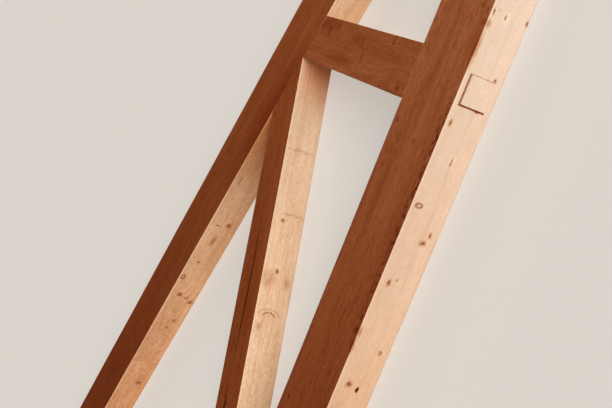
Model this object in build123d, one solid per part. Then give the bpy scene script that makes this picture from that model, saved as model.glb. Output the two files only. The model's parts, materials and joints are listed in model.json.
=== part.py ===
"""King-post roof truss of squared timber, lying on its side on a level floor.

The truss spans along X and rises along +Y, from the tie beam to the ridge, and every timber is
as thick as the truss. Z = 0 is the floor that it lies on, and the origin is the middle of the
outline on that floor. Millimetres.

All timbers are flush on both sides. The webs stand between the tie beam and the rafters on
blind tenons, each rafter's foot is stepped and tenoned into the tie beam, and the rafters meet
at the ridge in a bridle joint. Outlines are drawn for the right half, with x from the king
post's axis and y from the tie beam's top, and the left half is their mirror image.
"""
from build123d import *

import os
from math import asin, atan2, cos, degrees, hypot, radians, sin, tan

os.makedirs("parts", exist_ok=True)

# Timber sections
thickness = 120.0       # every timber, across the truss
tie_depth = 240.0
rafter_depth = 240.0
web_width = 160.0       # king post, outer posts and struts, seen from the side
arris = 3.0             # planed off the long edges

# Setting out
pitch = 20.5            # slope of the rafters, in degrees
post_spacing = 2160.0   # from the king post's axis to an outer post's axis
post_height = 685.0     # tie beam's top to rafter's underside, on the outer post's axis
heel_length = 320.0     # tie beam left beyond the rafter's toe, which takes the thrust

# Mortise and tenon joints
tenon_thickness = 40.0
tenon_depth = 50.0      # square to the face that it enters
tenon_shoulder = 20.0   # from an edge of the web to the edge of its tenon
tenon_fit = 0.3         # clearance round a tenon in its mortise

# Rafter's foot: a step let into the tie beam, with a tenon under its front part
step_depth = 40.0
heel_tenon_length = 330.0
heel_tenon_depth = 35.0

# Ridge: tongue of the left rafter in the slot of the right one
tongue_thickness = 40.0

# Cover blocks that close the pockets in the tie beam's underside, below the three posts
block_side = 80.0
block_proud = 4.0
block_set_in = 22.0
block_fit = 0.4         # clearance round a block in its pocket
block_edge = 1.0        # arris taken off round its face

slope = tan(radians(pitch))
plumb_depth = rafter_depth / cos(radians(pitch))


def underside(x):
    """Height of the right rafter's underside above the tie beam's top."""
    return post_height + (post_spacing - x) * slope


def topside(x):
    """Height of the right rafter's top above the tie beam's top."""
    return underside(x) + plumb_depth


# Where the rafter's underside and top reach the tie beam's top, and the tie beam's end
heel_x = post_spacing + post_height / slope
toe_x = heel_x + plumb_depth / slope
tie_half = toe_x + heel_length

# The drawing's y is measured from the tie beam's top, and the part's from the outline's middle
lowest = -tie_depth - block_proud
highest = topside(0)
origin_shift = -(lowest + highest) / 2

# Stock long enough for any timber here, uncut
stock_length = 4 * tie_half


def along(start, run, distance):
    """Point at a distance from start in the direction run."""
    return (start[0] + run[0] * distance, start[1] + run[1] * distance)


def slab(outline, depth):
    """Prism on an outline, centred in the thickness of the truss."""
    face = make_face(Polyline(*outline, close=True))
    return extrude(Pos(0, 0, thickness / 2) * face, amount=depth / 2, both=True)


def pocket(outline, depth, fit):
    """Hole for the prism of the same outline, with clearance on every side."""
    face = offset(make_face(Polyline(*outline, close=True)), fit, kind=Kind.INTERSECTION)
    return extrude(Pos(0, 0, thickness / 2) * face, amount=depth / 2 + fit, both=True)


def timber(middle, angle, width, outline):
    """Planed timber through a point at an angle, with its ends cut to the outline."""
    stick = Box(stock_length, width, thickness)
    stick = chamfer(stick.edges().filter_by(Axis.X), arris)
    stick = Pos(middle[0], middle[1], thickness / 2) * Rot(0, 0, angle) * stick
    return stick & slab(outline, thickness)


def mirrored(solid):
    """The same piece in the left half of the truss."""
    return mirror(solid, about=Plane.YZ)


# Unit directions in the truss's plane, for the right half
rafter_run = (cos(radians(pitch)), -sin(radians(pitch)))
into_rafter = (sin(radians(pitch)), cos(radians(pitch)))

# Outer post: square on the tie beam, with its head cut to the rafter's underside
post_in = post_spacing - web_width / 2
post_out = post_spacing + web_width / 2
post_outline = [
    (post_in, 0),
    (post_out, 0),
    (post_out, underside(post_out)),
    (post_in, underside(post_in)),
]


def post_tenons(left, right, head):
    """Foot and head tenons of an upright between two x values. The head follows the rafter."""
    foot = [(left, -tenon_depth), (right, -tenon_depth), (right, arris), (left, arris)]
    root = [(right, underside(abs(right)) - arris), (left, underside(abs(left)) - arris)]
    return foot, root + head


rise = tenon_depth / cos(radians(pitch))
post_tenon_in = post_in + tenon_shoulder
post_tenon_out = post_out - tenon_shoulder
post_foot, post_head = post_tenons(
    post_tenon_in,
    post_tenon_out,
    [
        (post_tenon_in, underside(post_tenon_in) + rise),
        (post_tenon_out, underside(post_tenon_out) + rise),
    ],
)

# King post: its head has two slopes that fit under the ridge
king_half = web_width / 2
king_outline = [
    (-king_half, 0),
    (king_half, 0),
    (king_half, underside(king_half)),
    (0, underside(0)),
    (-king_half, underside(king_half)),
]
king_tenon = king_half - tenon_shoulder
king_foot, king_head = post_tenons(
    -king_tenon,
    king_tenon,
    [
        (-king_tenon, underside(king_tenon) + rise),
        (0, underside(0) + rise),
        (king_tenon, underside(king_tenon) + rise),
    ],
)

# Strut: its upper edge starts in the corner at the king post's foot, and its lower edge ends in
# the corner at the outer post's head
low_corner = (king_half, 0)
high_corner = (post_in, underside(post_in))
corner_gap = hypot(high_corner[0] - low_corner[0], high_corner[1])
strut_angle = atan2(high_corner[1], high_corner[0] - low_corner[0]) + asin(web_width / corner_gap)
strut_run = (cos(strut_angle), sin(strut_angle))
strut_across = (-sin(strut_angle), cos(strut_angle))


def strut_on_tie(inset):
    """Where a line inside the strut, inset below its upper edge, meets the tie beam's top."""
    return (low_corner[0] + inset / sin(strut_angle), 0)


def strut_on_rafter(inset):
    """Where a line inside the strut, inset above its lower edge, meets the rafter."""
    return along(high_corner, rafter_run, -inset / sin(strut_angle + radians(pitch)))


strut_outline = [low_corner, strut_on_tie(web_width), high_corner, strut_on_rafter(web_width)]
strut_middle = along(low_corner, strut_across, -web_width / 2)

# Tenons of the strut: the end that pushes is square to the face, the other follows the strut
foot_slant = tenon_depth / sin(strut_angle)
head_slant = tenon_depth / sin(strut_angle + radians(pitch))
foot_near = (low_corner[0] + tenon_shoulder, 0)
foot_far = strut_on_tie(web_width - tenon_shoulder)
strut_foot = [
    along(foot_near, (0, 1), -tenon_depth),
    along(foot_far, strut_run, -foot_slant),
    along(foot_far, strut_run, arris),
    along(foot_near, strut_run, arris),
]
head_near = strut_on_rafter(tenon_shoulder)
head_far = strut_on_rafter(web_width - tenon_shoulder)
strut_head = [
    along(head_near, into_rafter, tenon_depth),
    along(head_far, strut_run, head_slant),
    along(head_far, strut_run, -arris),
    along(head_near, strut_run, -arris),
]

# Rafter's foot: the front of the step halves the angle between the two timbers' top faces
front = radians((180 - pitch) / 2)
front_run = (cos(front), sin(front))
toe = (toe_x, 0)
toe_bottom = along(toe, front_run, -step_depth / sin(front))
step_outline = [(heel_x, 0), toe_bottom, toe]
seat_length = hypot(toe_bottom[0] - heel_x, step_depth)
seat_run = ((toe_bottom[0] - heel_x) / seat_length, -step_depth / seat_length)
seat_start = along(toe_bottom, seat_run, -heel_tenon_length)
into_tie = (seat_run[1], -seat_run[0])
heel_tenon = [
    along(seat_start, into_tie, heel_tenon_depth),
    along(toe_bottom, front_run, -heel_tenon_depth),
    toe_bottom,
    along(toe_bottom, into_tie, -arris),
    along(seat_start, into_tie, -arris),
]

# Ridge: plumb cut in the middle, and the tongue fills the slot up to the other rafter's top
tongue_tip = plumb_depth / (2 * slope)
tongue = [
    (-arris, underside(0) - arris * slope),
    (0, underside(0)),
    (tongue_tip, topside(tongue_tip)),
    (0, topside(0)),
    (-arris, topside(0) - arris * slope),
]
rafter_outline = [(0, underside(0)), (heel_x, 0), toe_bottom, toe, (0, topside(0))]


def build_tie():
    """Tie beam, with the steps, mortises and pockets in it."""
    ends = [(-tie_half, -tie_depth), (tie_half, -tie_depth), (tie_half, 0), (-tie_half, 0)]
    tie = timber((0, -tie_depth / 2), 0, tie_depth, ends)
    step = slab(step_outline, thickness)
    heel = pocket(heel_tenon, tenon_thickness, tenon_fit)
    post = pocket(post_foot, tenon_thickness, tenon_fit)
    strut = pocket(strut_foot, tenon_thickness, tenon_fit)
    for cut in (step, heel, post, strut):
        tie = tie - cut - mirrored(cut)
    tie -= pocket(king_foot, tenon_thickness, tenon_fit)
    hole = block_side + 2 * block_fit
    for x in (-post_spacing, 0, post_spacing):
        tie -= Pos(x, -tie_depth, thickness / 2) * Box(hole, 2 * block_set_in, hole)
    return tie


def build_rafter():
    """Right rafter, with its foot, its mortises and the slot for the other rafter's tongue."""
    mid = along((0, underside(0)), into_rafter, rafter_depth / 2)
    rafter = timber(mid, -pitch, rafter_depth, rafter_outline)
    rafter += slab(heel_tenon, tenon_thickness)
    rafter -= pocket(post_head, tenon_thickness, tenon_fit)
    rafter -= pocket(strut_head, tenon_thickness, tenon_fit)
    return rafter


def build_upright(x, outline, foot, head):
    """Post between the tie beam and the rafters, with a tenon at each end."""
    upright = timber((x, post_height / 2), 90, web_width, outline)
    return upright + slab(foot, tenon_thickness) + slab(head, tenon_thickness)


def build_strut():
    """Right strut, with the tenons at its two slanted ends."""
    strut = timber(strut_middle, degrees(strut_angle), web_width, strut_outline)
    return strut + slab(strut_foot, tenon_thickness) + slab(strut_head, tenon_thickness)


def build_block(x):
    """Square cover block, let into the underside of the tie beam and standing a little proud."""
    height = block_set_in + block_proud
    block = Box(block_side, height, block_side)
    block = chamfer(block.faces().sort_by(Axis.Y)[0].edges(), block_edge)
    return Pos(x, lowest + height / 2, thickness / 2) * block


plain_rafter = build_rafter()
king_mortise = pocket(king_head, tenon_thickness, tenon_fit)
slot = pocket(tongue, tongue_thickness, tenon_fit)
post = build_upright(post_spacing, post_outline, post_foot, post_head)
strut = build_strut()

pieces = {
    "tie_beam": build_tie(),
    "rafter_right": plain_rafter - slot - king_mortise,
    "rafter_left": mirrored(plain_rafter) + slab(tongue, tongue_thickness) - king_mortise,
    "king_post": build_upright(0, king_outline, king_foot, king_head),
    "outer_post_right": post,
    "outer_post_left": mirrored(post),
    "strut_right": strut,
    "strut_left": mirrored(strut),
    "cover_block_right": build_block(post_spacing),
    "cover_block_middle": build_block(0),
    "cover_block_left": build_block(-post_spacing),
}

for name, piece in pieces.items():
    export_step(Pos(0, origin_shift, 0) * piece, f"parts/{name}.step")
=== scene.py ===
"""Looks of a king-post roof truss of planed softwood, lying on its side on a pale floor."""

import json
from functools import partial
from math import asin, atan2, cos, hypot, pi, radians, sin, tan

import bpy
import numpy as np
from mathutils import Matrix, Vector


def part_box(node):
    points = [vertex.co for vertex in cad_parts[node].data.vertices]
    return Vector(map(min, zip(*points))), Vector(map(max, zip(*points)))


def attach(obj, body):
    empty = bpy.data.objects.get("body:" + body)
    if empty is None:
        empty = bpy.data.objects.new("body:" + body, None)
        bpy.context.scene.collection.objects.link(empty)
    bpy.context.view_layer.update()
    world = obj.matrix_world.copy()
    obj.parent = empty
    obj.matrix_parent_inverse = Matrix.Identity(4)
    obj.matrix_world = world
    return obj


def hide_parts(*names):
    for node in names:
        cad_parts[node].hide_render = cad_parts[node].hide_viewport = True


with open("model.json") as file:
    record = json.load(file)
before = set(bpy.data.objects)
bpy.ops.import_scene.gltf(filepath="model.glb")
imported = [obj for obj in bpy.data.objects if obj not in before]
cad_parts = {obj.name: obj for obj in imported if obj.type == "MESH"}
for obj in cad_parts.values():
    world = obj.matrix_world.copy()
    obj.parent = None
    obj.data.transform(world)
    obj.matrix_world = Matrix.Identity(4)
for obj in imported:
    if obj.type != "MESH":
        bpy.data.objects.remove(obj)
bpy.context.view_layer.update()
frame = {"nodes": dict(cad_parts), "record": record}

# Tie beam
# The bottom chord: one finger-jointed stick of spruce, sawn, dried and planed on all four sides,
# with its long arrises eased. The rafters' feet stand in shallow steps near its ends, and three
# square pockets in its underside take the cover blocks.

tie_low, tie_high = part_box("tie_beam")
thickness = tie_high.z
tie_top = tie_high.y
tie_depth = tie_high.y - tie_low.y
tie_half = tie_high.x

eased = 0.0024          # radius of the eased arrises
arris_wave = 0.3        # share of it by which an arris drifts wider and narrower
arris_wave_length = 0.9
thin_edge = 0.020       # where a timber tapers to less than this, its arrises shrink with it
flat_strip = 0.0016     # strip beside an arris that keeps the face's shading flat
end_ease = 0.0010       # arris of a sawn end
station_gap = 0.012     # distance between sections along a timber
wall_lean = 0.0002      # lean of a pocket's or slot's wall, so that no face has no width


def steps(low, high, gap):
    """Evenly spaced values from low to high, no further apart than gap."""
    return np.linspace(low, high, max(2, int(np.ceil((high - low) / gap)) + 1))


def wander(values, length, seed):
    """Slow drift within about 1.4 units: a sum of three sine waves with random starts.

    The longest has that length, and the others are 2.3 and 5.1 times shorter and lower.
    """
    starts = np.random.default_rng(seed).uniform(0, 2 * pi, 3)
    return sum(np.sin(2 * pi * values * k / length + a) / k for k, a in zip((1, 2.3, 5.1), starts)) / 1.2


def timber_rings(t, start, end, low, high, columns, seed, levels=(0.0, thickness), radius=eased):
    """Sections of a squared timber as an array (section, point, s n z) in its own axes, and their darkness.

    s runs along the timber, n across it from its low edge low(s) to its high edge high(s), and z
    up. A point goes from start(share) to end(share) as t goes from 0 to 1, where share is its place
    between the two edges, so that an end can be cut at a slant. Every section goes round
    counterclockwise: four sides between the two levels of z, each with its columns, and a quarter
    circle of about that radius at each corner. A column is (share of its side, metres more, depth
    below the face, share for the ends, darkness), and the metres, depth and darkness can be
    functions of s.
    """
    turns = [((1, 0), (0, 1)), ((0, 1), (-1, 0)), ((-1, 0), (0, -1)), ((0, -1), (1, 0))]
    points = []
    darkness = []

    def add(side, part, more=0.0, depth=0.0, cut_share=None, dark=0.0, corner=None):
        (dn, dz), (inn, inz) = turns[side]
        share = (part, 1.0, 1 - part, 0.0)[side] if cut_share is None else cut_share
        s = start(share) + t * (end(share) - start(share))
        bottom, top = low(s), high(s)
        length = (top - bottom) if side in (0, 2) else levels[1] - levels[0]
        along = part * length + (more(s) if callable(more) else more)
        sunk = 0 * s + (depth(s) if callable(depth) else depth)
        n = (bottom, top, top, bottom)[side] + dn * along + inn * sunk
        z = (levels[0], levels[0], levels[1], levels[1])[side] + dz * along + inz * sunk
        if corner is not None:
            nextn, nextz = turns[(side + 1) % 4][0]
            here = radius * (1 + arris_wave * wander(s, arris_wave_length, seed + side))
            here = here * np.clip((top - bottom) / thin_edge, 0, 1)
            n = n - dn * here * (1 - sin(corner)) + nextn * here * (1 - cos(corner))
            z = z - dz * here * (1 - sin(corner)) + nextz * here * (1 - cos(corner))
        points.append(np.stack([s, n, z], axis=1))
        darkness.append(0 * s + (dark(s) if callable(dark) else dark))

    # past the widest place of an arris
    inset = radius * (1 + 1.5 * arris_wave) + flat_strip
    for side in range(4):
        add(side, 0.0, inset)
        for column in columns[side]:
            add(side, *column)
        add(side, 1.0, -inset)
        for angle in np.radians((0, 30, 60, 90)):
            add(side, 1.0, corner=angle)
    return np.stack(points, axis=1), np.stack(darkness, axis=1)


def eased_ends(rings, darkness):
    """The same sections with a small arris at both ends: a smaller end section, and the old one set back."""
    def shrunk(outer):
        middle = (outer[:, 1:].max(0) + outer[:, 1:].min(0)) / 2
        half = (outer[:, 1:].max(0) - outer[:, 1:].min(0)) / 2
        small = outer.copy()
        small[:, 1:] = middle + (outer[:, 1:] - middle) * (1 - end_ease / half)
        return small

    first, last = rings[0].copy(), rings[-1].copy()
    first[:, 0] += end_ease
    last[:, 0] -= end_ease
    rings = np.concatenate([
        shrunk(rings[0])[None], first[None], rings[1:-1], last[None], shrunk(rings[-1])[None],
    ])
    return rings, np.concatenate([darkness[:1], darkness, darkness[-1:]])


def skin(sections, points, halves):
    """Quads between neighbouring sections and two flat faces on each end, all facing outwards.

    halves are the two points of a section between which an end is divided.
    """
    i, j = np.meshgrid(np.arange(sections - 1), np.arange(points), indexing="ij")
    k = (j + 1) % points
    quads = np.stack([i * points + j, i * points + k, (i + 1) * points + k, (i + 1) * points + j], axis=-1)
    a, b = halves
    one = np.arange(a, b + 1)
    other = np.arange(b, a + points + 1) % points
    last = (sections - 1) * points
    ends = [one[::-1], other[::-1], one + last, other + last]
    return quads.reshape(-1, 4).tolist() + [end.tolist() for end in ends]


def make_timber(name, origin, angle, hand, t, start, end, low, high, columns, seed,
                extra=None, **section):
    """Mesh object of a timber: sections turned by angle, moved to origin and, for hand -1, mirrored in x.

    extra holds the points and faces of a tongue that is added to it. Two attributes tell the
    material how much stain and painted shade a check or gap has at a point, and whether the point is on a
    sawn end.
    """
    rings, darkness = timber_rings(t, start, end, low, high, columns, seed, **section)
    rings, darkness = eased_ends(rings, darkness)
    count, around = rings.shape[:2]
    s, n, z = rings.reshape(-1, 3).T
    x = hand * (origin[0] + s * cos(angle) - n * sin(angle))
    y = origin[1] + s * sin(angle) + n * cos(angle)
    vertices = np.stack([x, y, z], axis=1)
    middle = len(columns[0]) // 2 + 1
    besides = 6    # points that a side has besides its columns: two next to them and four on its arris
    opposite = sum(len(columns[side]) + besides for side in (0, 1)) + len(columns[2]) // 2 + 1
    faces = skin(count, around, (middle, opposite))
    cut_end = np.zeros((count, around))
    cut_end[[0, -1]] = 1
    shades = {"check": darkness.reshape(-1), "end_grain": cut_end.reshape(-1)}
    if extra is not None:
        more, more_faces = extra
        faces += [(np.array(face) + len(vertices)).tolist() for face in more_faces]
        vertices = np.concatenate([vertices, more * (hand, 1, 1)])
        shades = {key: np.concatenate([value, np.zeros(len(more))]) for key, value in shades.items()}
    if hand < 0:
        faces = [face[::-1] for face in faces]
    mesh = bpy.data.meshes.new(name)
    mesh.from_pydata(vertices.tolist(), [], faces)
    for key, value in shades.items():
        mesh.attributes.new(key, "FLOAT", "POINT").data.foreach_set("value", value)
    mesh.shade_smooth()
    mesh.set_sharp_from_angle(angle=radians(40))
    piece = bpy.data.objects.new(name, mesh)
    bpy.context.scene.collection.objects.link(piece)
    return piece


def plain_sides(parts=(0.25, 0.5, 0.75)):
    """Columns that only divide the four sides, at those shares of each."""
    return [[(part,) for part in parts] for _ in range(4)]


def level(value):
    """An edge or end that has the same value all over the timber."""
    return lambda place: 0 * place + value


def linear(code):
    """Colour of an sRGB hex code as linear red, green, blue, alpha, by the sRGB curve."""
    channels = [int(code[i:i + 2], 16) / 255 for i in (1, 3, 5)]
    return [c / 12.92 if c <= 0.04045 else ((c + 0.055) / 1.055) ** 2.4 for c in channels] + [1.0]


def add_node(tree, kind, links=None, out=0, **settings):
    """Adds a node and returns one of its outputs, or the node itself where out is None.

    links are its sockets' values, or the outputs of other nodes that are linked to them.
    """
    made = tree.nodes.new(kind)
    for key, value in settings.items():
        setattr(made, key, value)
    for key, value in (links or {}).items():
        if isinstance(value, bpy.types.NodeSocket):
            tree.links.new(value, made.inputs[key])
        else:
            made.inputs[key].default_value = value
    return made if out is None else made.outputs[out]


def per_metre(long, wide):
    """Scale of a pattern along and across a timber: spots per metre, to two digits, from their size in mm."""
    along, across = [float(f"{1000 / size:.2g}") for size in (long, wide)]
    return along, across, across


def planed_spruce(name, origin, angle, hand, size, pith, seed, pale, brown_and_shade, figure,
                  marks=(), joints=(), low_arris_strip=None, gradient_full_at=1.2):
    """Planed spruce: sawn, dried, planed by turning knives and left without varnish.

    The eye gets a dull wood with soft streaks along it, which are its growth rings and bend round
    the knots. Its wide faces are drawn darker and more orange than its pale narrow ones: partly the
    wood's own tone and partly painted shade.

    size is the timber's depth, and pith the place of its heart (n, z), outside the section. pale
    and brown_and_shade are the colours of its narrow and wide faces, each near the truss's end and
    near its middle, and the change between them along the truss is a painted gradient of light and
    shade. figure is how strongly the grain shows. marks are what else shows on it: (kind, s, n, z,
    half length, half width), and kind is core for a knot, eye for one seen as a ring, hole, pale,
    stain_and_shade for stains and painted shade, browned_and_shade for browned wood and painted
    shade, painted_shade, or arch for rings cut flatly. joints are the places of its finger joints,
    low_arris_strip is the stretch where the wide faces are drawn darker along the low edge's arris,
    with small dark specks, and gradient_full_at is how far from the truss's middle that gradient
    is full.
    """
    material = bpy.data.materials.new(name)
    material.use_nodes = True
    tree = material.node_tree
    tree.nodes.clear()
    node = partial(add_node, tree)

    # the timber's own axes: along it, across it and up, from the middle of its section
    place = node("ShaderNodeTexCoord", out="Object")
    local = node("ShaderNodeMapping", {
        "Vector": place, "Location": (hand * origin[0], origin[1], thickness / 2),
        "Rotation": (0, 0, angle if hand > 0 else pi - angle),
    }, vector_type="TEXTURE")
    axes = node("ShaderNodeSeparateXYZ", {"Vector": local}, out=None).outputs

    # finger joints: fingers 15 mm long and 3.8 mm apart, a fine glue line, and other wood beyond
    finger_long, finger_half, glue_half = 0.015, 0.0019, 0.0011
    own_wood = (seed * 7.31, seed * 1.7, seed * 2.9)
    other_wood = (5.3, 0.37, 0.21)
    fingers = node("ShaderNodeMath", {
        0: node("ShaderNodeMath", {0: axes["Y"], 1: finger_half}, operation="PINGPONG"),
        1: finger_long / finger_half, 2: axes["X"],
    }, operation="MULTIPLY_ADD")
    stick, glue = 0.0, 0.0
    for joint in joints:
        beyond = node("ShaderNodeMath", {0: fingers, 1: joint}, operation="GREATER_THAN")
        stick = node("ShaderNodeMath", {0: beyond, 1: stick}, operation="ADD")
        line = node("ShaderNodeMath", {0: fingers, 1: joint, 2: glue_half}, operation="COMPARE")
        glue = node("ShaderNodeMath", {0: line, 1: glue}, operation="MAXIMUM")
    apart = node("ShaderNodeVectorMath", {0: other_wood, "Scale": stick}, operation="SCALE")
    shifted = node("ShaderNodeVectorMath", {0: local, 1: own_wood}, operation="ADD")
    shifted = node("ShaderNodeVectorMath", {0: shifted, 1: apart}, operation="ADD")

    # the stem is never quite straight: its heart wanders by some 6 mm within a metre or two
    heart_wander = 0.034    # times a pattern that mostly stays within a fifth of its middle
    pattern_middle = (0.5, 0.5, 0.5)
    drift = node("ShaderNodeTexNoise", {
        "Vector": node("ShaderNodeMapping", {"Vector": shifted, "Scale": per_metre(1110, 200)}),
        "Scale": 1.0, "Detail": 2.0, "Roughness": 0.5,
    }, out="Color")
    bent = node("ShaderNodeVectorMath", {
        0: node("ShaderNodeVectorMath", {0: drift, 1: pattern_middle}, operation="SUBTRACT"),
        1: (0, heart_wander, heart_wander),
        2: node("ShaderNodeVectorMath", {0: local, 1: (0, *pith)}, operation="SUBTRACT"),
    }, operation="MULTIPLY_ADD")
    section = node("ShaderNodeSeparateXYZ", {"Vector": bent}, out=None).outputs
    flat = node("ShaderNodeCombineXYZ", {"Y": section["Y"], "Z": section["Z"]})
    radius = node("ShaderNodeVectorMath", {0: flat}, out="Value", operation="LENGTH")

    # knots placed by chance: one in each cell of the unrolled stem, half of them too small to see
    cell_long, cell_round = 0.42, 1.1    # metres along the stem, and radians round it
    knot_least, knot_most = 0.0005, 0.009
    knot_slender = 1.4                   # a knot is this much longer along the grain
    bearing = node("ShaderNodeMath", {0: section["Y"], 1: section["Z"]}, operation="ARCTAN2")
    unrolled = node("ShaderNodeCombineXYZ", {
        "X": node("ShaderNodeMath", {
            0: axes["X"], 1: 1 / cell_long, 2: seed * 3.3,
        }, operation="MULTIPLY_ADD"),
        "Y": node("ShaderNodeMath", {0: bearing, 1: cell_round}, operation="DIVIDE"),
    })
    cells = node("ShaderNodeTexVoronoi", {
        "Vector": unrolled, "Scale": 1.0,
    }, out=None, voronoi_dimensions="2D").outputs
    gap = node("ShaderNodeVectorMath", {0: unrolled, 1: cells["Position"]}, operation="SUBTRACT")
    gap = node("ShaderNodeSeparateXYZ", {"Vector": gap}, out=None).outputs
    knot_size = node("ShaderNodeMapRange", {
        "Value": node("ShaderNodeSeparateColor", {"Color": cells["Color"]}, out="Red"),
        "From Min": 0.5, "From Max": 1.0, "To Min": knot_least, "To Max": knot_most,
    })
    sideways = node("ShaderNodeMath", {0: gap["Y"], 1: cell_round}, operation="MULTIPLY")
    away = node("ShaderNodeVectorMath", {0: node("ShaderNodeCombineXYZ", {
        "X": node("ShaderNodeMath", {0: gap["X"], 1: cell_long / knot_slender}, operation="MULTIPLY"),
        "Y": node("ShaderNodeMath", {0: sideways, 1: radius}, operation="MULTIPLY"),
    })}, out="Value", operation="LENGTH")
    nearest = {"core": node("ShaderNodeMath", {0: away, 1: knot_size}, operation="DIVIDE")}
    if marks:
        # where the marks are listed, and a little past them, chance adds none
        margin, out_of_sight = 0.25, 9.0
        first, last = min(mark[1] for mark in marks), max(mark[1] for mark in marks)
        known = node("ShaderNodeMath", {
            0: axes["X"], 1: (first + last) / 2, 2: (last - first) / 2 + margin,
        }, operation="COMPARE")
        nearest["core"] = node("ShaderNodeMath", {
            0: known, 1: out_of_sight, 2: nearest["core"],
        }, operation="MULTIPLY_ADD")

    # the marks of this very timber: each is an ellipsoid that points at the heart, with an outline
    # made ragged by a pattern with spots of 11 mm by 5 mm
    rags = node("ShaderNodeTexNoise", {
        "Vector": node("ShaderNodeMapping", {"Vector": local, "Scale": per_metre(11.1, 5.3)}),
        "Scale": 1.0, "Detail": 3.0, "Roughness": 0.65,
    }, out="Color")
    ragged = node("ShaderNodeVectorMath", {
        0: node("ShaderNodeVectorMath", {0: rags, 1: pattern_middle}, operation="SUBTRACT"),
        1: (0.011, 0.009, 0.009), 2: local,
    }, operation="MULTIPLY_ADD")
    arches = 0.0
    for kind, s, n, z, half_long, half_wide in marks:
        # it reaches six of its half widths into the wood, and an eye, which is a shallow ring, one
        depth = min(0.01 + (1 if kind == "eye" else 6) * half_wide, 0.12)
        body = node("ShaderNodeMapping", {
            "Vector": ragged, "Location": (s, n, z), "Rotation": (atan2(z - pith[1], n - pith[0]), 0, 0),
            "Scale": (half_long, depth, half_wide),
        }, vector_type="TEXTURE")
        here = node("ShaderNodeVectorMath", {0: body}, out="Value", operation="LENGTH")
        nearest[kind] = node("ShaderNodeMath", {0: nearest.get(kind, here), 1: here}, operation="MINIMUM")
        if kind == "arch":
            # the rings stand on one another like arches, and are faint toward the timber's start
            arch_turn = 11.5    # radians of the wave over one half size
            waves = node("ShaderNodeMath", {
                0: node("ShaderNodeMath", {0: here, 1: arch_turn}, operation="MULTIPLY"),
            }, operation="COSINE")
            arch = node("ShaderNodeMapRange", {"Value": waves, "From Min": -0.6, "From Max": 0.9})
            rim = node("ShaderNodeMapRange", {"Value": here, "From Min": 1.3, "From Max": 0.8})
            crown = node("ShaderNodeMapRange", {
                "Value": node("ShaderNodeSeparateXYZ", {"Vector": body}, out="X"),
                "From Min": -0.3, "From Max": 0.4, "To Min": 0.15,
            })
            for part in (rim, crown):
                arch = node("ShaderNodeMath", {0: arch, 1: part}, operation="MULTIPLY")
            arches = node("ShaderNodeMath", {0: arch, 1: arches}, operation="MAXIMUM")
    closest = nearest["core"]
    for kind in ("hole", "pale", "eye", "arch"):
        if kind in nearest:
            closest = node("ShaderNodeMath", {0: closest, 1: nearest[kind]}, operation="MINIMUM")

    # patterns in the wood, by the length and width of their spots in mm: ripples of the rings,
    # clouds, flames, and fibres. Real fibres are 3 mm by 0.03 mm, which is too fine to show, so they
    # are drawn as streaks of 25 mm by 1 mm
    ripple, clouds, flames, fibres = [
        node("ShaderNodeTexNoise", {
            "Vector": node("ShaderNodeMapping", {"Vector": shifted, "Scale": per_metre(long, wide)}),
            "Scale": 1.0, "Detail": detail, "Roughness": roughness, "Distortion": distortion,
        })
        for long, wide, detail, roughness, distortion in (
            (200, 42, 3.0, 0.72, 0.0),
            (450, 62, 4.0, 0.55, 0.0),
            (21, 10.5, 3.0, 0.65, 1.4),
            (25, 1.11, 2.0, 0.6, 0.0),
        )
    ]

    # growth rings, some 2.6 mm wide: they bend round the knots, darken toward their late edge, more
    # in some years than in others, and start again pale
    ring_width = 0.0026
    knot_swell = 0.006      # how far a knot pushes them out
    stem_taper = 0.006      # how much the stem tapers over a metre
    ripple_height = 0.020
    swell = node("ShaderNodeMapRange", {
        "Value": closest, "From Min": 4.5, "From Max": 0.6, "To Max": knot_swell,
    }, interpolation_type="SMOOTHSTEP")
    taper = node("ShaderNodeMath", {0: axes["X"], 1: stem_taper, 2: radius}, operation="MULTIPLY_ADD")
    stem = node("ShaderNodeMath", {0: ripple, 1: ripple_height, 2: taper}, operation="MULTIPLY_ADD")
    grown = node("ShaderNodeMath", {0: stem, 1: swell}, operation="ADD")
    years = node("ShaderNodeMath", {0: grown, 1: ring_width}, operation="DIVIDE")
    season = node("ShaderNodeMath", {0: years}, operation="FRACT")
    year = node("ShaderNodeTexWhiteNoise", {
        "W": node("ShaderNodeMath", {0: years}, operation="FLOOR"),
    }, noise_dimensions="1D")
    late = node("ShaderNodeMapRange", {
        "Value": season, "From Min": 0.2, "From Max": 0.9,
    }, interpolation_type="SMOOTHSTEP")
    for part in (
        node("ShaderNodeMapRange", {"Value": season, "From Min": 1.0, "From Max": 0.92}),
        node("ShaderNodeMapRange", {"Value": year, "To Min": 0.3}),
    ):
        late = node("ShaderNodeMath", {0: late, 1: part}, operation="MULTIPLY")

    # wetter and drier years make bands of some 12 mm, 85 to a metre of the stem's radius, which are
    # the streaks that the eye sees from afar
    bands = node("ShaderNodeTexNoise", {
        "Vector": node("ShaderNodeCombineXYZ", {
            "X": grown, "Y": node("ShaderNodeMath", {0: axes["X"], 1: 0.07}, operation="MULTIPLY"),
            "Z": node("ShaderNodeMath", {0: stick, 1: seed}, operation="ADD"),
        }),
        "Scale": 85.0, "Detail": 3.0, "Roughness": 0.6, "Distortion": 0.6,
    })

    # narrow faces are pale, and wide ones darker and more orange, partly the wood's own tone and partly
    # painted shade. A painted gradient of light and shade runs between the truss's ends and its middle
    gradient_from = 2.5        # metres from the middle
    painted_gradient = node("ShaderNodeMapRange", {
        "Value": node("ShaderNodeMath", {
            0: node("ShaderNodeSeparateXYZ", {"Vector": place}, out="X"),
        }, operation="ABSOLUTE"),
        "From Min": gradient_from, "From Max": gradient_full_at,
    })
    wide = node("ShaderNodeMapRange", {
        "Value": node("ShaderNodeMath", {0: axes["Z"]}, operation="ABSOLUTE"),
        "From Min": thickness / 2 - 0.5 * eased, "From Max": thickness / 2 - 0.15 * eased,
    })
    narrow = node("ShaderNodeMath", {0: 1.0, 1: wide}, operation="SUBTRACT")
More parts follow.
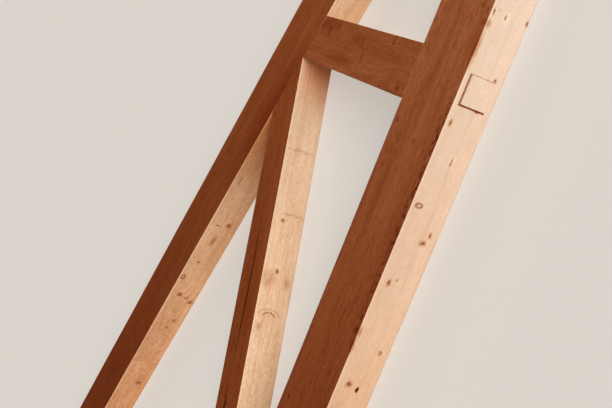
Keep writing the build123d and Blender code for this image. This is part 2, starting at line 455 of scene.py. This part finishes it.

    # all the patterns tint the wood from a warmer, darker tint up to its full colour, and more on the
    # wide faces
    swing = node("ShaderNodeMath", {0: late, 1: -0.5, 2: 0.12}, operation="MULTIPLY_ADD")
    for pattern, strength in ((bands, 0.7), (clouds, 0.9), (flames, 1.3), (fibres, 0.3)):
        offset = node("ShaderNodeMath", {0: pattern, 1: 0.5}, operation="SUBTRACT")
        swing = node("ShaderNodeMath", {0: offset, 1: strength, 2: swing}, operation="MULTIPLY_ADD")
    drawn = node("ShaderNodeMath", {0: painted_gradient, 1: 0.8 * figure, 2: 0.65 * figure}, operation="MULTIPLY_ADD")
    strongest = node("ShaderNodeMapRange", {"Value": wide, "To Min": drawn, "To Max": 2.1})
    shade = node("ShaderNodeMath", {0: swing, 1: strongest, 2: 0.5}, operation="MULTIPLY_ADD")
    grain = node("ShaderNodeMix", {
        0: shade, 6: linear("#D8C2AD"), 7: linear("#FFFFFF"),
    }, out=2, data_type="RGBA")
    # each face gets its pair of colours by the painted gradient, and the wide faces' darker pair is partly
    # the wood's own tone and partly painted shade
    faces = [
        node("ShaderNodeMix", {0: painted_gradient, 6: linear(at_end), 7: linear(at_middle)}, out=2, data_type="RGBA")
        for at_end, at_middle in (pale, brown_and_shade)
    ]
    wood = node("ShaderNodeMix", {0: wide, 6: faces[0], 7: faces[1]}, out=2, data_type="RGBA")
    wood = node("ShaderNodeMix", {0: 1.0, 6: wood, 7: grain}, out=2, data_type="RGBA", blend_type="MULTIPLY")

    # the corner farthest from the heart is sapwood: a little paler, behind a soft darker line that
    # meets the low edge's face some 41 mm from its middle
    sap_radius = hypot(size / 2 + pith[0], 0.041 + abs(pith[1])) + 0.0065
    beyond = node("ShaderNodeMath", {0: stem, 1: sap_radius}, operation="SUBTRACT")
    sap = node("ShaderNodeMapRange", {"Value": beyond, "From Max": 0.003, "To Max": 0.14 * figure})
    line = node("ShaderNodeMapRange", {
        "Value": node("ShaderNodeMath", {0: beyond}, operation="ABSOLUTE"),
        "From Min": 0.0040, "From Max": 0.0, "To Max": 0.26 * figure,
    }, interpolation_type="SMOOTHSTEP")
    # a pale face gets a painted highlight along its upper arris, and a wide face is drawn darkest along its
    # arrises
    painted_arris_highlight = node("ShaderNodeMapRange", {
        "Value": axes["Z"], "To Max": 0.3,
        "From Min": thickness / 2 - 0.008, "From Max": thickness / 2 - 0.003,
    })
    arris_darkening = node("ShaderNodeMapRange", {
        "Value": node("ShaderNodeMath", {0: axes["Y"]}, operation="ABSOLUTE"),
        "From Min": size / 2 - 0.006, "From Max": size / 2 - 0.002, "To Max": 0.35,
    })
    painted_arris_highlight = node("ShaderNodeMath", {0: painted_arris_highlight, 1: narrow}, operation="MULTIPLY")
    arris_darkening = node("ShaderNodeMath", {0: arris_darkening, 1: wide}, operation="MULTIPLY")

    # what covers the wood: how much, its colour, and how it blends
    covers = [
        (line, "#DFC3A8", "MULTIPLY"),
        (sap, "#FFE9D4", "SOFT_LIGHT"),
        (painted_arris_highlight, "#FFE2C4", "MIX"),
        (arris_darkening, "#CDB4A4", "MULTIPLY"),
    ]

    # the marks' layers: how far from a mark's middle they are strongest, where they start to fade
    # and where they are gone, in its half sizes, then their strength, and what limits them, if not 1
    patchy = node("ShaderNodeMapRange", {"Value": flames, "From Min": 0.38, "From Max": 0.55, "To Min": 0.3})
    for kind, ring, solid, gone, strength, limit, code, blend in (
        ("browned_and_shade", 0.0, 0.0, 1.0, 1.0, patchy, "#DAB8A0", "MULTIPLY"),
        ("painted_shade", 0.0, 0.0, 1.0, 1.0, 1.0, "#F6C095", "MULTIPLY"),
        ("stain_and_shade", 0.0, 0.1, 1.3, 1.0, 1.0, "#D9AE8A", "MULTIPLY"),
        ("pale", 0.0, 0.3, 1.3, 0.45, narrow, "#FFEEDC", "MIX"),
        ("core", 0.0, 0.9, 2.2, 0.8, 1.0, "#E4C4A8", "MULTIPLY"),
        ("core", 0.0, 0.6, 1.2, 0.85, 1.0, "#8A4E2C", "MIX"),
        ("core", 0.0, 0.0, 0.7, 0.5, 1.0, "#A8673A", "MIX"),
        ("eye", 0.0, 0.3, 1.1, 0.25, 1.0, "#D0A078", "MULTIPLY"),
        ("eye", 0.8, 0.0, 0.45, 1.0, 1.0, "#A87A5C", "MULTIPLY"),
        ("hole", 0.0, 0.7, 1.1, 1.0, 1.0, "#58220A", "MIX"),
    ):
        if kind in nearest:
            off = node("ShaderNodeMath", {
                0: node("ShaderNodeMath", {0: nearest[kind], 1: ring}, operation="SUBTRACT"),
            }, operation="ABSOLUTE")
            cover = node("ShaderNodeMapRange", {
                "Value": off, "From Min": gone, "From Max": solid, "To Max": strength,
            }, interpolation_type="SMOOTHSTEP")
            cover = node("ShaderNodeMath", {0: cover, 1: limit}, operation="MULTIPLY")
            covers.append((cover, code, blend))
    arches = node("ShaderNodeMath", {0: arches, 1: patchy}, operation="MULTIPLY")
    covers.append((arches, "#BA8662", "MULTIPLY"))

    if low_arris_strip is not None:
        # along the low edge's arris the wide faces are drawn darker, in a strip with small dark specks
        strip_start, strip_end = low_arris_strip
        strip = node("ShaderNodeMapRange", {
            "Value": axes["Y"], "From Min": 0.032 - size / 2, "From Max": 0.010 - size / 2,
        }, interpolation_type="SMOOTHSTEP")
        off = node("ShaderNodeMath", {0: axes["X"], 1: (strip_start + strip_end) / 2}, operation="SUBTRACT")
        stretch = node("ShaderNodeMapRange", {
            "Value": node("ShaderNodeMath", {0: off}, operation="ABSOLUTE"),
            "From Min": (strip_end - strip_start) / 2, "From Max": (strip_end - strip_start) / 2 - 0.15,
        })
        for part in (stretch, wide):
            strip = node("ShaderNodeMath", {0: strip, 1: part}, operation="MULTIPLY")
        for long, broad, low, high, code in (
            (36, 9, 0.46, 0.6, "#DAC0AE"),
            (14.3, 6.2, 0.56, 0.62, "#8E5C42"),
        ):
            slant = node("ShaderNodeMapping", {
                "Vector": shifted, "Rotation": (0, 0, radians(-40)), "Scale": per_metre(long, broad),
            })
            specks = node("ShaderNodeTexNoise", {"Vector": slant, "Scale": 1.0, "Detail": 2.0})
            deep = node("ShaderNodeMapRange", {"Value": specks, "From Min": low, "From Max": high})
            deep = node("ShaderNodeMath", {0: strip, 1: deep}, operation="MULTIPLY")
            covers.append((deep, code, "MULTIPLY"))

    # the check attribute gives stained wood beside a check up to 0.5 and painted shade inside it past that,
    # and round a cover block's pocket a painted shadow; glue lines are brownish, and end grain drinks in dirt
    check = node("ShaderNodeAttribute", out="Fac", attribute_name="check")
    sawn = node("ShaderNodeAttribute", out="Fac", attribute_name="end_grain")
    covers += [
        (node("ShaderNodeMapRange", {"Value": check, "From Max": 0.5}), "#A8683E", "MULTIPLY"),
        (node("ShaderNodeMapRange", {"Value": check, "From Min": 0.5, "From Max": 0.9}), "#5A240C", "MIX"),
        (node("ShaderNodeMath", {0: glue, 1: 0.4}, operation="MULTIPLY"), "#9A6038", "MIX"),
        (node("ShaderNodeMath", {0: sawn, 1: 0.45}, operation="MULTIPLY"), "#A8703F", "MIX"),
    ]
    for cover, code, blend in covers:
        wood = node("ShaderNodeMix", {
            0: cover, 6: wood, 7: linear(code),
        }, out=2, data_type="RGBA", blend_type=blend)

    # fibres and late wood stand a little proud, and late wood is a little smoother. Bare wood
    # scatters nearly all the light, so the gloss on it is low
    relief = node("ShaderNodeMath", {0: fibres, 1: 0.5, 2: late}, operation="MULTIPLY_ADD")
    bump = node("ShaderNodeBump", {"Height": relief, "Strength": 0.3, "Distance": 0.0003})
    gloss = node("ShaderNodeMapRange", {"Value": late, "To Min": 0.74, "To Max": 0.66})
    shader = node("ShaderNodeBsdfPrincipled", {
        "Base Color": wood, "Roughness": gloss, "Normal": bump, "IOR": 1.45, "Specular IOR Level": 0.05,
    })
    node("ShaderNodeOutputMaterial", {"Surface": shader}, out=None)
    return material


# the rafters' pitch, from the direction of the seat on one's top, and the wedge-shaped steps for
# their feet: the front of a step halves the obtuse angle between a rafter and the tie beam
seat = next(m for m in frame["record"]["mounts"] if m["name"] == "purlin_seat_right")
pitch = atan2(seat["axis"][0], seat["axis"][1])
slope = tan(pitch)


def reach(node, direction):
    """Least and greatest distance of a CAD node's points along a direction in the plan."""
    vertices = frame["nodes"][node].data.vertices
    points = np.empty(len(vertices) * 3)
    vertices.foreach_get("co", points)
    values = points.reshape(-1, 3)[:, :2] @ np.array(direction)
    return values.min(), values.max()


rafter_under, rafter_over = reach("rafter_right", (sin(pitch), cos(pitch)))
rafter_depth = rafter_over - rafter_under
ridge_under = rafter_under / cos(pitch)
ridge_top = rafter_over / cos(pitch)
heel_x = (ridge_under - tie_top) / slope
toe_x = (ridge_top - tie_top) / slope
front = (pi - pitch) / 2
step_depth = 0.040
toe_bottom_x = toe_x - step_depth / tan(front)


def tie_upper_edge(s):
    """Top of the tie beam above its middle line: flat, with a wedge-shaped step under each rafter's foot."""
    return tie_depth / 2 - np.interp(np.abs(s), [heel_x, toe_bottom_x, toe_x], [0, step_depth, 0])


block_low, block_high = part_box("cover_block_right")
post_axis = (block_low.x + block_high.x) / 2
pocket_play = 0.0004    # room that a block has in its pocket
pocket_half = (block_high.x - block_low.x) / 2 + pocket_play
pocket_depth = block_high.y - tie_low.y
pocket_edge = 0.0008    # painted shadow round a pocket, on the sides where the block fits
open_edge = 0.0052      # and where its joint is open
shadow_rim = 0.0025    # the part of that edge that is painted darkest
pocket_shade = 0.55     # how dark that painted shadow is: 0.5 is stained wood, and 1 the inside of a check
pocket_middles = np.array([-post_axis, 0, post_axis])
open_sides = np.array([1, -1, -1])


def pocket_offset(s):
    """Distance from the nearest pocket's middle along the tie beam, positive toward its open joint."""
    offsets = np.asarray(s)[..., None] - pocket_middles
    nearest = np.abs(offsets).argmin(-1)
    return np.take_along_axis(offsets, nearest[..., None], -1)[..., 0] * open_sides[nearest]


def pocket(s):
    """Depth of the tie beam's underside: full over each cover block, and nothing elsewhere."""
    return pocket_depth * np.clip((pocket_half + wall_lean - np.abs(pocket_offset(s))) / wall_lean, 0, 1)


def pocket_shadow(s):
    """Darkness of the gap round each cover block, and of the painted shadow on the tie beam beside it, up to
    the edge of its pocket.
    """
    offset = pocket_offset(s)
    edge = np.where(offset > 0, open_edge, pocket_edge)
    rim = np.where(offset > 0, shadow_rim, wall_lean)
    return pocket_shade * np.clip((pocket_half + edge - np.abs(offset)) / (edge - rim), 0, 1)


tie_stops = [heel_x, toe_bottom_x, toe_x]
for middle in (0, post_axis):
    for more in (0, wall_lean, pocket_edge, shadow_rim, open_edge):
        tie_stops += [middle - pocket_half - more, middle + pocket_half + more]
tie_stops += [-x for x in tie_stops]
tie_s = np.unique(np.round(np.concatenate([steps(-tie_half, tie_half, station_gap), tie_stops]), 6))
# sections at the stops stay, and others within 2 mm of a stop go
crowded, touching = 0.002, 2e-6
near = np.abs(tie_s[:, None] - np.array(tie_stops)[None]).min(1)
tie_s = tie_s[(near > crowded) | (near < touching)]
tie_t = (tie_s + tie_half) / (2 * tie_half)
tie_columns = plain_sides((0.12, 0.3, 0.5, 0.7, 0.88))
tie_columns[3] = [
    (0.5, -pocket_half - open_edge),
    (0.5, -pocket_half - shadow_rim, 0.0, None, pocket_shadow),
    (0.5, -pocket_half - wall_lean, 0.0, None, pocket_shadow),
    (0.5, -pocket_half, pocket, None, pocket_shadow),
    (0.5, pocket_half, pocket, None, pocket_shadow),
    (0.5, pocket_half + wall_lean, 0.0, None, pocket_shadow),
    (0.5, pocket_half + pocket_edge),
]
tie_middle = (0.0, tie_top - tie_depth / 2)
tie = make_timber(
    "tie_beam_planed", tie_middle, 0.0, 1, tie_t, level(-tie_half), level(tie_half),
    level(-tie_depth / 2), tie_upper_edge, tie_columns, 11,
)

# marks on its underside and its upper wide face: kind, x, across, height, half length, half width
under, upper = -tie_depth / 2, thickness / 2
tie_marks = [
    ("core", 2.360, under, 0.051, 0.0080, 0.0020),
    ("pale", 2.356, under, 0.010, 0.018, 0.009),
    ("core", 2.358, under, 0.012, 0.0070, 0.0020),
    ("core", 2.366, under, -0.057, 0.006, 0.003),
    ("stain_and_shade", 2.328, under, 0.053, 0.016, 0.007),
    ("stain_and_shade", 2.262, under, 0.058, 0.060, 0.008),
    ("core", 2.207, under, -0.033, 0.0035, 0.003),
    ("core", 2.118, under, -0.017, 0.004, 0.004),
    ("core", 2.069, under, 0.044, 0.008, 0.0028),
    ("pale", 1.977, under, -0.005, 0.020, 0.006),
    ("core", 1.975, under, -0.005, 0.011, 0.0017),
    ("eye", 1.844, under, 0.036, 0.008, 0.011),
    ("core", 1.777, under, -0.033, 0.006, 0.0025),
    ("core", 1.752, under, -0.020, 0.006, 0.006),
    ("stain_and_shade", 1.639, under, 0.009, 0.005, 0.0035),
    ("core", 1.627, under, 0.031, 0.008, 0.0038),
    ("stain_and_shade", 1.478, under, 0.055, 0.020, 0.006),
    ("stain_and_shade", 1.440, under, 0.057, 0.034, 0.004),
    ("eye", 1.432, under, -0.031, 0.007, 0.004),
    ("core", 1.330, under, 0.024, 0.006, 0.0065),
    ("hole", 1.318, under, -0.007, 0.010, 0.0042),
    ("core", 2.157, 0.024, upper, 0.005, 0.0035),
    ("core", 1.988, -0.016, upper, 0.004, 0.003),
    ("core", 2.023, 0.100, upper, 0.006, 0.004),
    ("core", 2.368, -0.081, upper, 0.005, 0.0035),
    ("core", 1.344, -0.069, upper, 0.006, 0.004),
    ("hole", 1.177, 0.081, upper, 0.010, 0.004),
]
tie_colours = {"pale": ("#F8EBDD", "#E7C5A5"), "brown_and_shade": ("#C6784B", "#A0542B")}
tie.data.materials.append(planed_spruce(
    "tie_beam_spruce", tie_middle, 0.0, 1, tie_depth, pith=(0.15, 0.20), seed=1.0, figure=0.42,
    marks=tie_marks, joints=(-3.62, -1.14, 0.37, 2.91), low_arris_strip=(1.36, 2.20), **tie_colours))
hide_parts("tie_beam")
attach(tie, "root")

# Rafters
# The two top chords, of the same stock as the tie beam. Each foot is cut to sit in its step, and
# at the ridge the right one is slotted for the tongue of the left one.


def along_rafter(x, y):
    """A point's place along and across the right rafter, from the underside at the ridge."""
    dx, dy = x, y - ridge_under
    return dx * cos(pitch) - dy * sin(pitch), dx * sin(pitch) + dy * cos(pitch)


heel_s, _ = along_rafter(heel_x, tie_top)
toe_bottom_s, toe_bottom_n = along_rafter(toe_bottom_x, tie_top - step_depth)
toe_s, _ = along_rafter(toe_x, tie_top)
tongue_half = 0.020     # half the width of the left rafter's tongue
slot_half = tongue_half + 0.0003
slot_lip = 0.001        # wood left under the slot at the ridge
slot_tip = rafter_depth / tan(2 * pitch)


def slot(s):
    """Depth of the ridge slot below the rafter's top: its floor climbs at twice the pitch."""
    return np.clip(rafter_depth - s * tan(2 * pitch), 0, rafter_depth - slot_lip)


def rafter_start(share):
    """The ridge end is cut plumb, so it starts earlier toward the top."""
    return -share * rafter_depth * slope


def rafter_end(share):
    """The foot ends against the front of its step."""
    return toe_bottom_s + share * (toe_s - toe_bottom_s)


rafter_t = np.unique(np.round(np.concatenate([
    steps(0, 1, station_gap / toe_bottom_s), [heel_s / toe_bottom_s, slot_tip / toe_bottom_s],
]), 7))
slotted = plain_sides()
slotted[1] = [
    (0.5, -slot_half - wall_lean),
    (0.5, -slot_half, slot, 0.0),
    (0.5, slot_half, slot, 0.0),
    (0.5, slot_half + wall_lean),
]
tongue_back = 0.010     # how far the tongue reaches back into its own rafter
tongue_tip = rafter_depth / cos(pitch) / (2 * slope)
tongue_plan = np.array([
    (tongue_back, ridge_under - tongue_back * slope), (0, ridge_under),
    (-tongue_tip, ridge_under + tongue_tip * slope), (0, ridge_top),
    (tongue_back, ridge_top - tongue_back * slope),
])
corners = len(tongue_plan)
tongue_z = thickness / 2 + tongue_half * np.repeat([-1, 1], corners)
tongue_points = np.column_stack([np.tile(tongue_plan, (2, 1)), tongue_z])
tongue_faces = [list(range(corners)), list(range(corners, 2 * corners))[::-1]]
tongue_faces += [[k, k + corners, (k + 1) % corners + corners, (k + 1) % corners] for k in range(corners)]

under = -rafter_depth / 2
rafter_marks = [
    ("core", 1.461, under, -0.019, 0.008, 0.0065),
    ("core", 1.450, under, 0.023, 0.004, 0.004),
    ("stain_and_shade", 1.375, under, 0.006, 0.034, 0.010),
    ("core", 1.256, under, 0.016, 0.005, 0.004),
    ("eye", 1.166, under, 0.044, 0.014, 0.008),
    ("core", 1.073, under, 0.018, 0.009, 0.0075),
    ("eye", 1.062, under, -0.016, 0.007, 0.007),
    ("core", 1.043, under, -0.041, 0.008, 0.006),
    ("stain_and_shade", 0.928, under, -0.021, 0.014, 0.007),
    ("core", 0.885, under, -0.006, 0.005, 0.004),
    ("core", 0.537, under, -0.021, 0.008, 0.007),
    ("stain_and_shade", 1.673, under, 0.033, 0.040, 0.006),
    # painted shade on the underside beside the strut's head
    ("stain_and_shade", 1.950, under, 0.020, 0.340, 0.200),
]
rafter_middle = (rafter_depth / 2 * sin(pitch), ridge_under + rafter_depth / 2 * cos(pitch))
for hand, side_name, columns, extra, marks in (
    (1, "right", slotted, None, rafter_marks),
    (-1, "left", plain_sides(), (tongue_points, tongue_faces), ()),
):
    rafter = make_timber(
        f"rafter_{side_name}_planed", (0.0, ridge_under), -pitch, hand, rafter_t, rafter_start, rafter_end,
        lambda s: np.interp(s, [heel_s, toe_bottom_s], [0, toe_bottom_n]), level(rafter_depth),
        columns, 31 + hand, extra,
    )
    # the rafters' colours are darker and more orange than the tie beam's: partly painted shade, as their
    # undersides face away from the main light
    rafter.data.materials.append(planed_spruce(
        f"rafter_{side_name}_spruce", rafter_middle, -pitch, hand, rafter_depth, pith=(0.17, 0.19),
        seed=2.0 + hand, pale=("#EDD1B0", "#D9A67D"), brown_and_shade=("#AF6235", "#823A10"), figure=1.1,
        marks=marks, joints=(0.681, 3.40), gradient_full_at=0.5))
    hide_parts(f"rafter_{side_name}")
    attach(rafter, "root")

# Posts
# Three uprights of lighter planed spruce, tenoned into the tie beam and the rafters. The outer ones
# have their heads cut to the rafter's slope, and the king post's head has two slopes under the ridge.


def rafter_height(x):
    """Height of the rafters' underside above the tie beam's top, at a distance x from the middle."""
    return ridge_under - tie_top - np.abs(x) * slope


web_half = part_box("king_post")[1].x    # half the depth of posts and struts
post_marks = [
    ("stain_and_shade", 0.645, -0.040, upper, 0.010, 0.014),
    ("stain_and_shade", 0.589, -0.037, upper, 0.010, 0.010),
    ("stain_and_shade", 0.527, -0.060, upper, 0.008, 0.009),
    ("stain_and_shade", 0.336, -0.033, upper, 0.006, 0.013),
    ("browned_and_shade", 0.385, -0.037, upper, 0.060, 0.014),
    # these two broad patches toward the head are painted shade
    ("browned_and_shade", 0.440, 0.040, upper, 0.140, 0.024),
    ("browned_and_shade", 0.600, -0.058, upper, 0.110, 0.022),
    ("core", 0.311, 0.013, upper, 0.004, 0.007),
    ("stain_and_shade", 0.156, -0.059, upper, 0.005, 0.012),
    ("stain_and_shade", 0.043, 0.059, upper, 0.016, 0.010),
]
for node, hand, x_middle, seed, marks in (
    ("king_post", 1, 0.0, 51, ()),
    ("outer_post_right", 1, post_axis, 52, post_marks),
    ("outer_post_left", -1, post_axis, 53, ()),
):
    foot = (x_middle, tie_top)
    # its share across is 0 at the edge away from the truss's middle
    post = make_timber(
        f"{node}_planed", foot, pi / 2, hand, steps(0, 1, station_gap / rafter_height(x_middle)),
        level(0.0), lambda share: rafter_height(x_middle + web_half - 2 * web_half * share),
        level(-web_half), level(web_half), plain_sides(), seed,
    )
    post.data.materials.append(planed_spruce(
        f"{node}_spruce", foot, pi / 2, hand, 2 * web_half, pith=(0.13, 0.17), seed=seed / 10,
        pale=("#F5D9BE", "#EECAA6"), brown_and_shade=("#BC6F42", "#A2542B"), figure=1.0, marks=marks))
    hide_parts(node)
    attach(post, "root")

# Struts
# The two diagonals, of the posts' stock, from the corner at the king post's foot to the corner at
# the outer post's head, tenoned, with both ends cut to the faces that they push against.

strut_low = (web_half, tie_top)
strut_high = (post_axis - web_half, tie_top + float(rafter_height(post_axis - web_half)))
run, rise = strut_high[0] - strut_low[0], strut_high[1] - strut_low[1]
strut_angle = atan2(rise, run) + asin(2 * web_half / hypot(run, rise))
strut_origin = (strut_low[0] + web_half * sin(strut_angle), strut_low[1] - web_half * cos(strut_angle))
run, rise = strut_high[0] - strut_origin[0], strut_high[1] - strut_origin[1]
strut_reach = run * cos(strut_angle) + rise * sin(strut_angle)


def strut_start(share):
    """The foot lies on the tie beam, so it starts later toward the lower edge."""
    return (1 - share) * 2 * web_half / tan(strut_angle)


def strut_end(share):
    """The head lies under the rafter, so it ends sooner toward the upper edge."""
    return strut_reach - share * 2 * web_half / tan(strut_angle + pitch)


# a drying check follows the middle of the upper wide face, and stops and starts again: its places
# along and across the strut, and how far it is open there
check_path = np.array([
    (0.87, 0.020, 0), (0.93, 0.012, 1.0), (0.96, 0.020, 0.3), (1.06, 0.012, 0), (1.10, 0.009, 0.35),
    (1.15, 0.008, 0.2), (1.19, 0.004, 0.6), (1.23, 0.003, 0.9), (1.27, 0.002, 1.0),
    (1.34, 0.001, 0.9), (1.41, -0.001, 0.5), (1.48, 0.001, 0.3), (1.56, 0.006, 0),
])
check_s, check_n, check_open = check_path.T
check_half = 0.0018     # half its width
check_edge = 0.0060     # stained wood beside it
check_from = 0.45       # opening from which it is more than a stain
check_deepest = 0.0066  # its depth where it is fully open


def check_line(s):
    """Distance of the check from the middle line, positive toward the low edge."""
    return -np.interp(s, check_s, check_n)


def check_dark(s):
    """How far the check has opened, which is also its darkness: from 0 to 1, only stained wood up to 0.5, and
    painted shade inside the check past it.
    """
    return np.interp(s, check_s, check_open)


def check_depth(s):
    """Depth of the check, in proportion to how far it has opened past a stain."""
    return check_deepest * np.clip((check_dark(s) - check_from) / (1 - check_from), 0, 1)


checked = plain_sides()
checked[2] = [
    (0.25,),
    (0.5, lambda s: check_line(s) - check_half - check_edge),
    (0.5, lambda s: check_line(s) - check_half, 0.0, None, check_dark),
    (0.5, check_line, check_depth, None, check_dark),
    (0.5, lambda s: check_line(s) + check_half, 0.0, None, check_dark),
    (0.5, lambda s: check_line(s) + check_half + check_edge),
    (0.75,),
]
under = -web_half
strut_marks = [
    # painted shade on the strut's head, under the post
    ("painted_shade", 2.150, under, -0.020, 0.280, 0.130),
    ("arch", 1.222, under, 0.008, 0.022, 0.027),
    ("arch", 1.788, under, 0.000, 0.010, 0.036),
    ("arch", 1.565, under, -0.012, 0.008, 0.030),
    ("core", 1.544, under, 0.021, 0.005, 0.0035),
    ("core", 1.373, under, 0.007, 0.007, 0.004),
    ("browned_and_shade", 1.345, under, 0.030, 0.050, 0.034),
    ("browned_and_shade", 1.330, under, 0.036, 0.032, 0.014),
    ("browned_and_shade", 1.338, under, -0.036, 0.034, 0.018),
    ("browned_and_shade", 1.184, under, 0.036, 0.020, 0.012),
    ("hole", 0.922, 0.010, upper, 0.013, 0.0055),
    ("core", 0.958, 0.026, upper, 0.010, 0.005),
]
strut_t = steps(0, 1, station_gap / strut_reach)
for hand, side_name, columns, marks in ((1, "right", checked, strut_marks), (-1, "left", plain_sides(), ())):
    strut = make_timber(
        f"strut_{side_name}_planed", strut_origin, strut_angle, hand, strut_t, strut_start, strut_end,
        level(-web_half), level(web_half), columns, 71 + hand,
    )
    strut.data.materials.append(planed_spruce(
        f"strut_{side_name}_spruce", strut_origin, strut_angle, hand, 2 * web_half, pith=(0.12, -0.18),
        seed=6.0 + hand, pale=("#D9C2AB", "#F5D7B7"), brown_and_shade=("#A5592E", "#9A5026"), figure=0.75,
        marks=marks))
    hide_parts(f"strut_{side_name}")
    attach(strut, "root")

# Cover blocks
# Square end blocks of the same spruce, glued into the pockets of the tie beam's underside and left
# a few millimetres proud. Each is a little small for its pocket, so a dark line shows on two sides,
# and on one of them a painted shadow on the tie beam widens it.

block_reveal = 0.0004   # open joint on the two sides
block_arris = 0.0008
block_half = (block_high.x - block_low.x) / 2
block_span = block_high.y - block_low.y
block_stock = 0.5       # depth of the wood it came from, so it has no sapwood and no darkened arrises
for node, hand, x_middle in (
    ("cover_block_right", 1, post_axis),
    ("cover_block_left", -1, post_axis),
    ("cover_block_middle", 1, 0.0),
):
    origin = (x_middle, (block_low.y + block_high.y) / 2)
    block = make_timber(
        f"{node}_planed", origin, 0.0, hand, steps(0, 1, 0.25), level(block_reveal - block_half),
        level(block_half), level(-block_span / 2), level(block_span / 2), plain_sides((0.5,)), 90,
        levels=(block_low.z, block_high.z - block_reveal), radius=block_arris,
    )
    block.data.materials.append(planed_spruce(
        f"{node}_spruce", origin, 0.0, hand, block_stock, pith=(0.21, -0.03), seed=9.0 + x_middle,
        figure=0.4, **tie_colours))
    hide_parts(node)
    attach(block, "root")

# Floor, light and camera
# A level floor with a coat of pale matt paint, soft even light that comes mostly from the side of
# the truss's underside, and a camera at the photograph's place.

floor_half = 60.0
floor_mesh = bpy.data.meshes.new("floor")
floor_corners = floor_half * np.array([(-1, -1, 0), (1, -1, 0), (1, 1, 0), (-1, 1, 0)])
floor_mesh.from_pydata(floor_corners.tolist(), [], [(0, 1, 2, 3)])
floor = bpy.data.objects.new("floor", floor_mesh)
bpy.context.scene.collection.objects.link(floor)


def to_the_eye(node):
    """1 for the camera's rays and those that glass or metal sends on, and 0 for light on the truss."""
    rays = node("ShaderNodeLightPath", out=None).outputs
    seen = rays["Is Camera Ray"]
    for kind in ("Is Transmission Ray", "Is Glossy Ray"):
        seen = node("ShaderNodeMath", {0: seen, 1: rays[kind]}, operation="MAXIMUM")
    return seen


# matt emulsion paint, rolled on: the eye gets an even pale grey, and the truss a warmer light from it
paint = bpy.data.materials.new("pale_floor_paint")
paint.use_nodes = True
paint.node_tree.nodes.clear()
paint_node = partial(add_node, paint.node_tree)
seen = to_the_eye(paint_node)
coat = paint_node("ShaderNodeMix", {
    0: seen, 6: linear("#E8D2BA"), 7: linear("#B4AFA8"),
}, out=2, data_type="RGBA")
matt = paint_node("ShaderNodeBsdfDiffuse", {"Color": coat})
glow = paint_node("ShaderNodeEmission", {
    "Color": linear("#F4EFE8"),
    "Strength": paint_node("ShaderNodeMath", {0: seen, 1: 0.48}, operation="MULTIPLY"),
})
both = paint_node("ShaderNodeAddShader", {0: matt, 1: glow})
paint_node("ShaderNodeOutputMaterial", {"Surface": both}, out=None)
floor_mesh.materials.append(paint)

# the air is a pale backdrop to the eye, and sheds a faint warm light on the truss from all round
world = bpy.data.worlds.new("studio")
bpy.context.scene.world = world
world.use_nodes = True
world.node_tree.nodes.clear()
air_node = partial(add_node, world.node_tree)
seen = to_the_eye(air_node)
haze = air_node("ShaderNodeMix", {
    0: seen, 6: linear("#FFE4CA"), 7: linear("#DBD4CC"),
}, out=2, data_type="RGBA")
air = air_node("ShaderNodeBackground", {
    "Color": haze, "Strength": air_node("ShaderNodeMapRange", {"Value": seen, "To Min": 0.12, "To Max": 1.0}),
})
air_node("ShaderNodeOutputWorld", {"Surface": air}, out=None)


def soft_sun(name, toward, spread, strength):
    """Even light over the whole floor from that direction, from a disc so many degrees across."""
    lamp = bpy.data.lights.new(name, "SUN")
    lamp.angle = radians(spread)
    lamp.energy = strength
    holder = bpy.data.objects.new(name, lamp)
    holder.rotation_euler = Vector(toward).to_track_quat("Z", "Y").to_euler()
    bpy.context.scene.collection.objects.link(holder)


# the main light comes from the underside's side, and weaker ones from its left and from the far side
soft_sun("key", toward=(3.8, -9.0, 4.1), spread=38, strength=2.52)
soft_sun("fill", toward=(-6.0, -7.0, 4.1), spread=30, strength=0.55)
soft_sun("back", toward=(8.5, 6.0, 4.4), spread=22, strength=0.80)

# the photograph's point of view, aim and upward direction, and its angle of view as a focal length
eye = Vector((2.101, -2.827, 1.369))
aim = Vector((1.666, -0.457, 0.120))
image_up = Vector((0.9188, 0.3023, 0.2539))
look = (aim - eye).normalized()
right = look.cross(image_up).normalized()
upright = right.cross(look)
camera_data = bpy.data.cameras.new("camera")
camera_data.sensor_width = 36.0
camera_data.lens = 51.2
camera = bpy.data.objects.new("camera", camera_data)
camera.location = eye
camera.rotation_euler = Matrix((right, upright, -look)).transposed().to_euler()
bpy.context.scene.collection.objects.link(camera)
bpy.context.scene.camera = camera
bpy.context.scene.view_settings.view_transform = "Standard"
